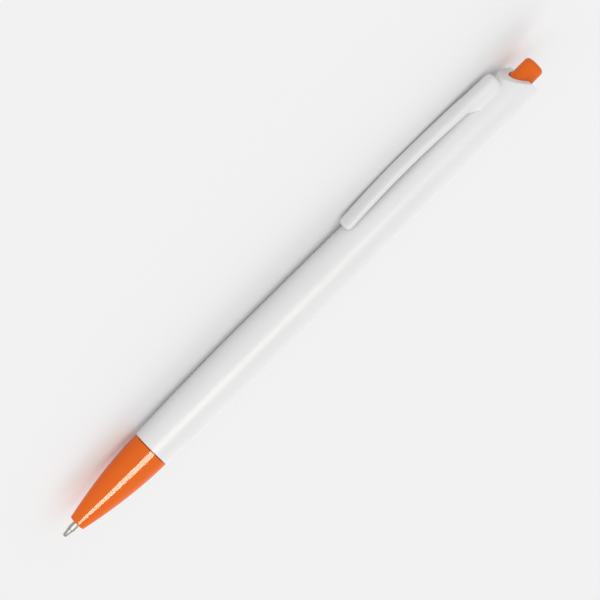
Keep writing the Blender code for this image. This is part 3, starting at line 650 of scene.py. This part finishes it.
def moulded_plastic(name, colour, roughness, shine, ripple):
    """Injection-moulded plastic: flow lines along the pen, of height ripple, fine skin and uneven gloss."""
    finish = Finish(name, colour, roughness)
    finish.vary_colour(finish.noise((60, 300, 300)), 0.97)
    finish.vary_roughness(finish.noise((400, 900, 900)), 0.85, 1.15)
    flow = finish.bump(finish.noise((40, 500, 500), detail=2.0), ripple)
    finish.bump(finish.noise((6000, 6000, 6000), detail=1.0), ripple / RIPPLE_TO_SKIN, before=flow)
    finish.shader.inputs["Specular IOR Level"].default_value = shine
    return finish.material


def white_plastic():
    """Satin: its highlights are wide and weak."""
    return moulded_plastic("white_plastic", WHITE, roughness=0.24, shine=0.5, ripple=0.000012)


def orange_plastic():
    """Glossy: its highlights are narrow, with sharp edges."""
    return moulded_plastic("orange_plastic", ORANGE, roughness=0.10, shine=0.25, ripple=0.000005)


def satin_plastic(name, colour, roughness, clearness=0.0):
    """Even plastic of the inner pieces, clear where clearness is above 0."""
    finish = Finish(name, colour, roughness)
    finish.vary_colour(finish.noise((200, 400, 400)), 0.94)
    finish.vary_roughness(finish.noise((800, 800, 800)), 0.8, 1.2)
    finish.bump(finish.noise((9000, 9000, 9000), detail=1.0), FINE_RELIEF)
    finish.shader.inputs["Transmission Weight"].default_value = clearness
    return finish.material


def turned_metal(name, colour, roughness):
    """Metal with the fine rings of the lathe tool."""
    finish = Finish(name, colour, roughness, metallic=1.0)
    finish.vary_colour(finish.noise((3000, 900, 900)), 0.88)
    finish.vary_roughness(finish.noise((9000, 2000, 2000)), 0.7, 1.4)
    rings = finish.node("ShaderNodeTexWave", wave_type="BANDS", bands_direction="X")
    rings.inputs["Scale"].default_value = LATHE_SCALE
    rings.inputs["Distortion"].default_value = LATHE_DISTORTION
    finish.link(finish.place, rings.inputs["Vector"])
    finish.bump(rings.outputs["Fac"], LATHE_RELIEF)
    return finish.material


def drawn_wire(name, colour, roughness):
    """Bright wire with a fine grain."""
    finish = Finish(name, colour, roughness, metallic=1.0)
    finish.vary_colour(finish.noise((1500, 1500, 1500)), 0.85)
    finish.vary_roughness(finish.noise((4000, 4000, 4000)), 0.8, 1.3)
    finish.bump(finish.noise((12000, 12000, 12000), detail=1.0), FINE_RELIEF)
    return finish.material


def fluid(name, colour, roughness, clearness):
    """Ink or grease: smooth, with streaks along the pen."""
    finish = Finish(name, colour, roughness)
    finish.vary_colour(finish.noise((120, 700, 700)), 0.8)
    finish.vary_roughness(finish.noise((500, 900, 900)), 0.8, 1.3)
    finish.shader.inputs["Transmission Weight"].default_value = clearness
    return finish.material


def dress(node, material):
    """The material and smooth shading for a solid that stays visible."""
    mesh = nodes[node].data
    mesh.materials.clear()
    mesh.materials.append(material)
    mesh.shade_smooth()
    mesh.set_sharp_from_angle(angle=SHARP_ANGLE)


def seen_by_eye(tree):
    """1 for rays that show the surround: from the camera, in a mirror or through glass."""
    path = tree.nodes.new("ShaderNodeLightPath")
    total = path.outputs["Is Camera Ray"]
    for name in ("Is Glossy Ray", "Is Transmission Ray"):
        either = tree.nodes.new("ShaderNodeMath")
        either.operation = "MAXIMUM"
        tree.links.new(total, either.inputs[0])
        tree.links.new(path.outputs[name], either.inputs[1])
        total = either.outputs[0]
    return total


def make_world(seen, ambient):
    """An even surround: one brightness where it is seen, another as the fill light on the pen."""
    world = bpy.data.worlds.new("studio")
    bpy.context.scene.world = world
    world.use_nodes = True
    tree = world.node_tree
    strength = tree.nodes.new("ShaderNodeMapRange")
    strength.inputs["To Min"].default_value = ambient
    strength.inputs["To Max"].default_value = seen
    tree.links.new(seen_by_eye(tree), strength.inputs["Value"])
    background = tree.nodes["Background"]
    background.inputs["Color"].default_value = (1, 1, 1, 1)
    tree.links.new(strength.outputs["Result"], background.inputs["Strength"])


def floor_material(albedo, lift):
    """Matt pale paper that keeps shadows, lifted a little where it is seen."""
    material = bpy.data.materials.new("pale_floor")
    material.use_nodes = True
    tree = material.node_tree
    tree.nodes.clear()
    paper = tree.nodes.new("ShaderNodeBsdfDiffuse")
    paper.inputs["Color"].default_value = (albedo, albedo, albedo, 1)
    glow = tree.nodes.new("ShaderNodeEmission")
    glow.inputs["Color"].default_value = (1, 1, 1, 1)
    amount = tree.nodes.new("ShaderNodeMath")
    amount.operation = "MULTIPLY"
    amount.inputs[1].default_value = lift
    tree.links.new(seen_by_eye(tree), amount.inputs[0])
    tree.links.new(amount.outputs[0], glow.inputs["Strength"])
    both = tree.nodes.new("ShaderNodeAddShader")
    tree.links.new(paper.outputs[0], both.inputs[0])
    tree.links.new(glow.outputs[0], both.inputs[1])
    output = tree.nodes.new("ShaderNodeOutputMaterial")
    tree.links.new(both.outputs[0], output.inputs["Surface"])
    return material


def make_floor(size, material):
    shape = bmesh.new()
    bmesh.ops.create_grid(shape, x_segments=1, y_segments=1, size=size)
    floor = add_object("floor", shape, material)
    floor.location = (0, 0, cad_low.z)


def towards(elevation, azimuth):
    """Direction at an elevation in degrees; azimuth 0 is the -Y side and 90 the +X side."""
    e, a = math.radians(elevation), math.radians(azimuth)
    return Vector((math.sin(a) * math.cos(e), -math.cos(a) * math.cos(e), math.sin(e)))


def make_lamp(name, kind, energy):
    data = bpy.data.lights.new(name, kind)
    data.energy = energy
    lamp = bpy.data.objects.new(name, data)
    bpy.context.scene.collection.objects.link(lamp)
    return lamp


def make_sun(name, elevation, azimuth, energy, spread):
    """Soft even light for the diffuse surfaces, without a reflection of its own."""
    lamp = make_lamp(name, "SUN", energy)
    lamp.data.angle = math.radians(spread)
    lamp.rotation_euler = towards(elevation, azimuth).to_track_quat("Z", "Y").to_euler()
    lamp.visible_glossy = False


def make_strip(name, low, high, start, end, brightness, only):
    """A strip box on the clip's side, seen only in the reflections of one collection's pieces.

    It reaches from the low to the high elevation, in degrees, and from start to end along X.
    """
    middle = math.radians((low + high) / 2)
    height = 2 * STRIP_DISTANCE * math.tan(math.radians((high - low) / 2))
    lamp = make_lamp(name, "AREA", brightness * math.pi * height * (end - start))
    lamp.data.shape = "RECTANGLE"
    lamp.data.size = end - start
    lamp.data.size_y = height
    back = Vector((0, -math.cos(middle), math.sin(middle)))
    up = Vector((0, math.sin(middle), math.cos(middle)))
    turn = Matrix((Vector((1, 0, 0)), up, back)).transposed().to_4x4()
    place = AXIS + Vector(((start + end) / 2, 0, 0)) + back * STRIP_DISTANCE
    lamp.matrix_world = Matrix.Translation(place) @ turn
    lamp.visible_diffuse = False
    lamp.visible_camera = False
    lamp.data.color = STRIP_COLOUR
    lamp.light_linking.receiver_collection = only


def collect(name, *pieces):
    """A collection that also holds the pieces of these names."""
    collection = bpy.data.collections.new(name)
    for piece in pieces:
        collection.objects.link(bpy.data.objects[piece])
    return collection


def make_camera():
    """The photo's view: low over the clip's side, turned so that the tip is at the lower left."""
    back = Vector((0, -math.cos(VIEW_ELEVATION), math.sin(VIEW_ELEVATION)))
    above = Vector((0, math.sin(VIEW_ELEVATION), math.cos(VIEW_ELEVATION)))
    along = Vector((1, 0, 0))
    right = math.cos(PICTURE_TURN) * along + math.sin(PICTURE_TURN) * above
    up = math.cos(PICTURE_TURN) * above - math.sin(PICTURE_TURN) * along
    data = bpy.data.cameras.new("photo_camera")
    data.sensor_width = SENSOR_WIDTH
    data.lens = SENSOR_WIDTH * CAMERA_DISTANCE * PIXELS_PER_METRE / IMAGE_SIZE
    camera = bpy.data.objects.new("photo_camera", data)
    bpy.context.scene.collection.objects.link(camera)
    turn = Matrix((right, up, back)).transposed().to_4x4()
    camera.matrix_world = Matrix.Translation(AXIS + back * CAMERA_DISTANCE) @ turn
    bpy.context.scene.camera = camera


make_camera()
make_world(seen=0.88, ambient=0.70)
make_floor(size=3.0, material=floor_material(albedo=0.75, lift=0.12))
make_sun("key", elevation=35, azimuth=35, energy=0.82, spread=60)
make_sun("far_side", elevation=24, azimuth=145, energy=1.34, spread=50)

white = white_plastic()
orange = orange_plastic()
make_barrel(white)
make_clip(white)
make_nose(orange)
make_button(orange)
# The point's base colour is darker than nickel silver's own: painted shade, so that the pale surround it
# mirrors reads as dark metal sides.
make_point(turned_metal("nickel_silver", colour=(0.42, 0.41, 0.39), roughness=0.14))
make_ball(turned_metal("ball_carbide", colour=(0.30, 0.30, 0.32), roughness=0.08))

satin_white = collect("satin_white", "fine_barrel", "fine_pocket_clip")
glossy_orange = collect("glossy_orange", "fine_nose_cone", "fine_push_button")
bright_metal = collect("bright_metal", "fine_writing_point", "fine_writing_ball")

# Both plastics mirror the same soft box; its elevations are degrees and its ends are metres along X
window = {"low": 31, "high": 61, "start": -0.065, "end": 0.50}
make_strip("white_strip", **window, brightness=3.0, only=satin_white)
make_strip("orange_strip", **window, brightness=26.0, only=glossy_orange)
make_strip("metal_strip", low=2, high=78, start=-0.30, end=0.50, brightness=1.6, only=bright_metal)

acetal = satin_plastic("acetal", colour=(0.72, 0.72, 0.70), roughness=0.45)
dress("cam_rotor", acetal)
clear_holder = satin_plastic("clear_holder", colour=(0.75, 0.77, 0.78), roughness=0.35, clearness=0.3)
dress("point_holder", clear_holder)
clear_tube = satin_plastic("clear_tube", colour=(0.78, 0.80, 0.82), roughness=0.30, clearness=0.6)
dress("ink_tube", clear_tube)
make_spring(drawn_wire("spring_steel", colour=(0.55, 0.55, 0.57), roughness=0.22))
dress("ink_column", fluid("blue_ink", colour=(0.01, 0.02, 0.20), roughness=0.20, clearness=0.0))
dress("grease_follower", fluid("clear_grease", colour=(0.75, 0.68, 0.45), roughness=0.30, clearness=0.5))

bpy.context.scene.view_settings.view_transform = "Standard"
